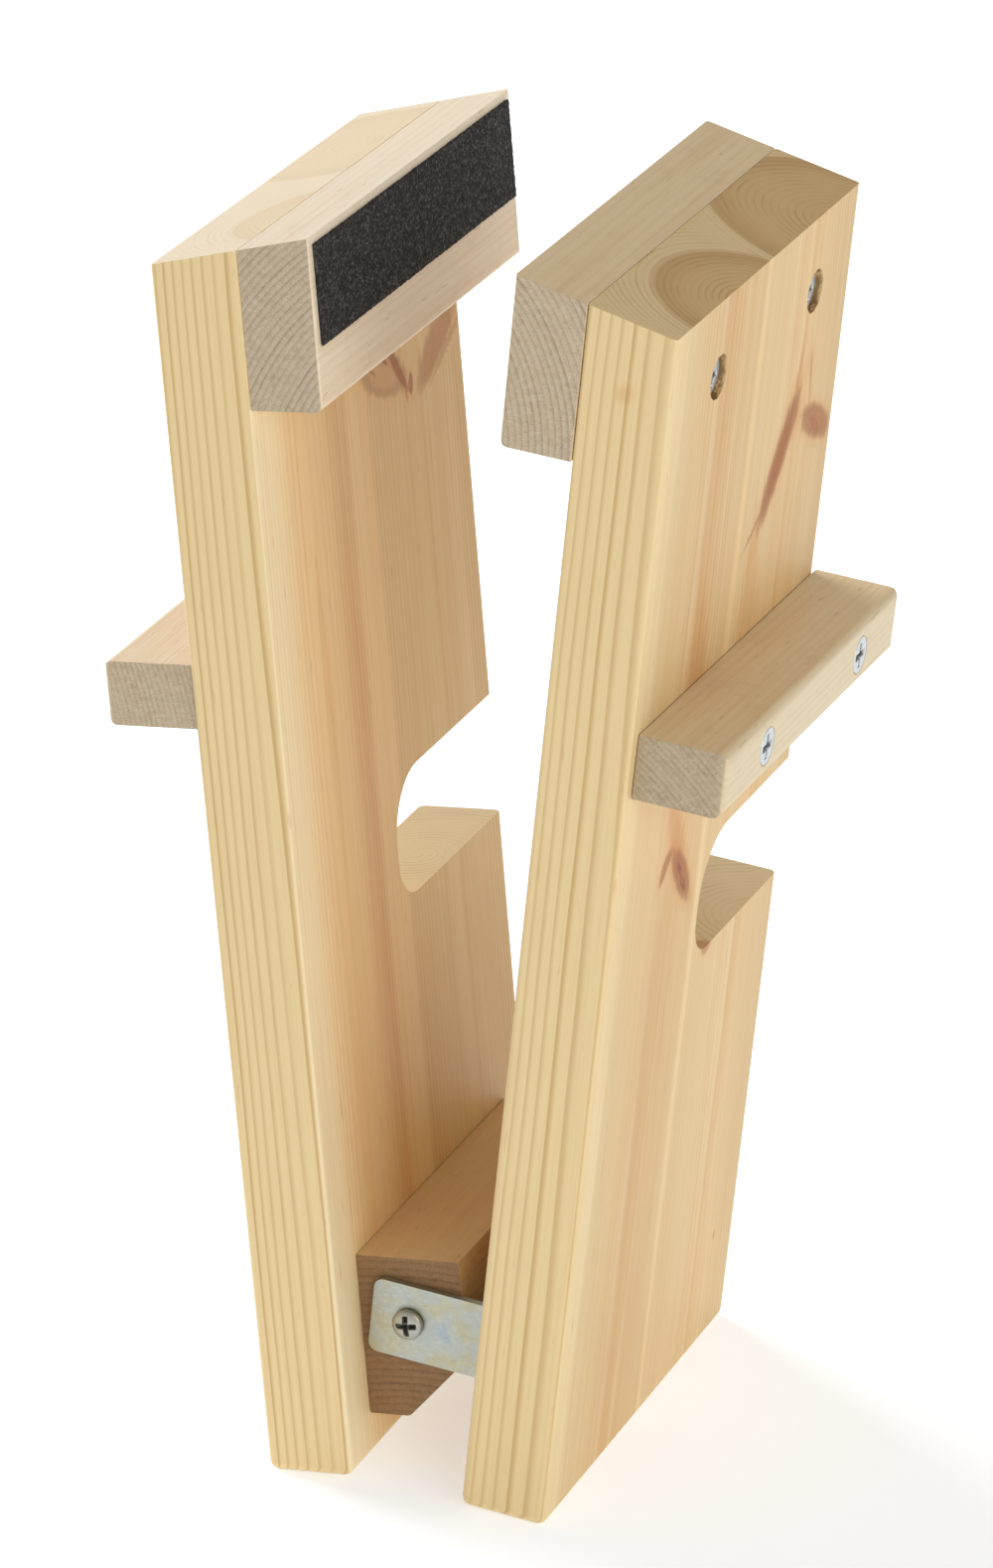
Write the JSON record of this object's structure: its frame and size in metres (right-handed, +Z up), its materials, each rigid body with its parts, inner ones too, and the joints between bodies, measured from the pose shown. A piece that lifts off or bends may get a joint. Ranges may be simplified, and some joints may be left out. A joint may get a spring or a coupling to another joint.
{
  "type": "saw clamp",
  "caption": "Hinged wooden saw clamp for a bench vice: pine boards with gripping hardwood jaws, hanging cleats and rear slots, pivoting near the foot on a block and steel angle brackets.",
  "frame": {"origin": "centre of the whole part's bounding box, at floor level, with the clamp standing open on the outer edges of both feet", "axes": "+X across the boards from the left board (which carries the hinge block) to the right board, +Y from the front edges to the notched rear edges and along the hinge, +Z up"},
  "size_m": [0.1986, 0.1672, 0.4029],
  "materials": {
    "pine": "planed, pale yellow glued pine with fine growth rings and a few brown knots",
    "beech": "planed pale pinkish-beige hardwood with sawn greyish end grain",
    "grip": "black abrasive strip with a fine sparkling grit",
    "zinc_bracket": "zinc plated, dull with a faint yellow and blue tint",
    "zinc_screw": "bright zinc plated"
  },
  "bodies": {
    "left_side": {"left_board": "pine", "left_jaw": "beech", "left_grip_pad": "grip", "left_cleat": "beech", "hinge_block": "beech", "left_jaw_screw_front": "zinc_screw", "left_jaw_screw_rear": "zinc_screw", "left_cleat_screw_front": "zinc_screw", "left_cleat_screw_rear": "zinc_screw", "block_screw_front": "zinc_screw", "block_screw_rear": "zinc_screw", "front_pivot_screw": "zinc_screw", "rear_pivot_screw": "zinc_screw"},
    "right_side": {"right_board": "pine", "right_jaw": "beech", "right_grip_pad": "grip", "right_cleat": "beech", "front_bracket": "zinc_bracket", "rear_bracket": "zinc_bracket", "right_jaw_screw_front": "zinc_screw", "right_jaw_screw_rear": "zinc_screw", "right_cleat_screw_front": "zinc_screw", "right_cleat_screw_rear": "zinc_screw", "front_bracket_screw_1": "zinc_screw", "front_bracket_screw_2": "zinc_screw", "rear_bracket_screw_1": "zinc_screw", "rear_bracket_screw_2": "zinc_screw"}
  },
  "joints": [
    {"name": "opening_hinge", "type": "hinge", "parent": "left_side", "child": "right_side", "pos_m": [0.00173, -0.00108, 0.05199], "axis": [0, 1, 0], "range_deg": [-10.2, 37.5]}
  ]
}
